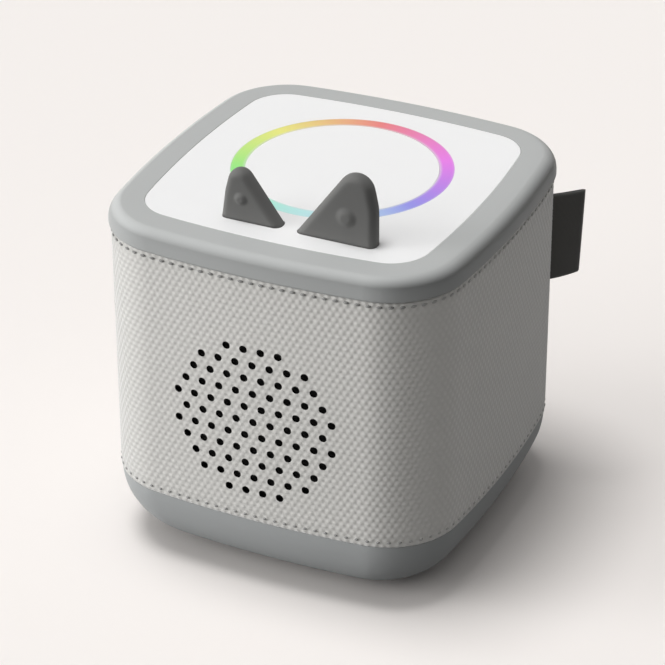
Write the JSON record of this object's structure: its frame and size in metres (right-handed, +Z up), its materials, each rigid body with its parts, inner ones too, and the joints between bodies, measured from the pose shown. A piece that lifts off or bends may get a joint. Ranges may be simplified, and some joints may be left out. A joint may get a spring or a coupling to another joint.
{
  "type": "audio story player",
  "caption": "Soft-cornered cube speaker for children: fabric wrap, perforated front, glowing ring on top for figures, two ear-shaped volume buttons and a side tag.",
  "frame": {"origin": "centre of the footprint on the table, at the bottom of the rubber feet", "axes": "+Z up, -Y out of the speaker face, +X to the listener's right"},
  "size_m": [0.1222, 0.1222, 0.1417],
  "materials": {
    "frame_grey": "soft satin, light grey",
    "plate_white": "white, satin to gloss",
    "light_ring": "translucent, lit from below in rainbow colours",
    "inner_white": "plain moulded",
    "circuit_board": "green solder mask",
    "led_package": "white package with yellow lens",
    "magnet_steel": "plated",
    "ear_rubber": "matte silicone",
    "inner_dark": "plain moulded",
    "switch_metal": "sprung metal",
    "screw_steel": "zinc plated",
    "fabric_grey": "coarse basket weave, warm light grey",
    "label_black": "woven tape, bare",
    "foam_black": "closed-cell foam",
    "speaker_steel": "black passivated steel",
    "speaker_rubber": "butyl rubber",
    "cone_paper": "pressed paper pulp",
    "coil_copper": "enamelled copper winding",
    "spider_cloth": "resin-stiffened cotton",
    "base_grey": "soft satin, mid grey",
    "foot_rubber": "matte",
    "cell_wrap": "shrink-wrapped cells",
    "shield_metal": "tinned sheet",
    "component_black": "moulded packages",
    "connector_white": "nylon",
    "lead_red": "sleeved wire",
    "lead_black": "sleeved wire"
  },
  "bodies": {
    "player": {"top_frame": "frame_grey", "top_plate": "plate_white", "figure_disc": "plate_white", "light_ring": "light_ring", "light_baffle": "inner_white", "led_board": "circuit_board", "leds": "led_package", "nfc_antenna": "circuit_board", "figure_magnet": "magnet_steel", "magnet_holder": "inner_white", "ear_cover_large": "ear_rubber", "ear_cover_small": "ear_rubber", "ear_core_large": "inner_dark", "ear_core_small": "inner_dark", "ear_switch_large": "switch_metal", "ear_switch_small": "switch_metal", "ear_screws": "screw_steel", "core_housing": "inner_white", "fabric_sleeve": "fabric_grey", "corner_label": "label_black", "speaker_grille": "inner_dark", "speaker_gasket": "foam_black", "speaker_basket": "speaker_steel", "speaker_surround": "speaker_rubber", "speaker_spider": "spider_cloth", "speaker_washer": "speaker_steel", "speaker_magnet": "magnet_steel", "speaker_yoke": "speaker_steel", "speaker_screws": "screw_steel", "base_shell": "base_grey", "base_feet": "foot_rubber", "base_screws": "screw_steel", "battery_door": "base_grey", "door_screws": "screw_steel", "battery_box": "inner_dark", "box_screws": "screw_steel", "battery_cells": "cell_wrap", "battery_contacts": "switch_metal", "frame_screws": "screw_steel", "main_board": "circuit_board", "board_screws": "screw_steel", "shield_can": "shield_metal", "board_components": "component_black", "board_connectors": "connector_white", "headphone_jack": "component_black", "usb_c_socket": "shield_metal", "battery_lead": "lead_red", "speaker_lead": "lead_black", "lights_lead": "lead_black"},
    "volume_up_button": {"volume_up_pad": "ear_rubber"},
    "volume_down_button": {"volume_down_pad": "ear_rubber"},
    "cone_assembly": {"speaker_cone": "cone_paper", "dust_cap": "cone_paper", "voice_coil": "coil_copper"}
  },
  "joints": [
    {"name": "volume_up_press", "type": "slide", "parent": "player", "child": "volume_up_button", "axis": [0, 1, 0], "range_m": [0, 0.0006], "stiffness_N_per_m": 2500},
    {"name": "volume_down_press", "type": "slide", "parent": "player", "child": "volume_down_button", "axis": [0, 1, 0], "range_m": [0, 0.0006], "stiffness_N_per_m": 2500},
    {"name": "cone_travel", "type": "slide", "parent": "player", "child": "cone_assembly", "axis": [0, -1, 0], "range_m": [-0.001, 0.001], "stiffness_N_per_m": 1500}
  ]
}
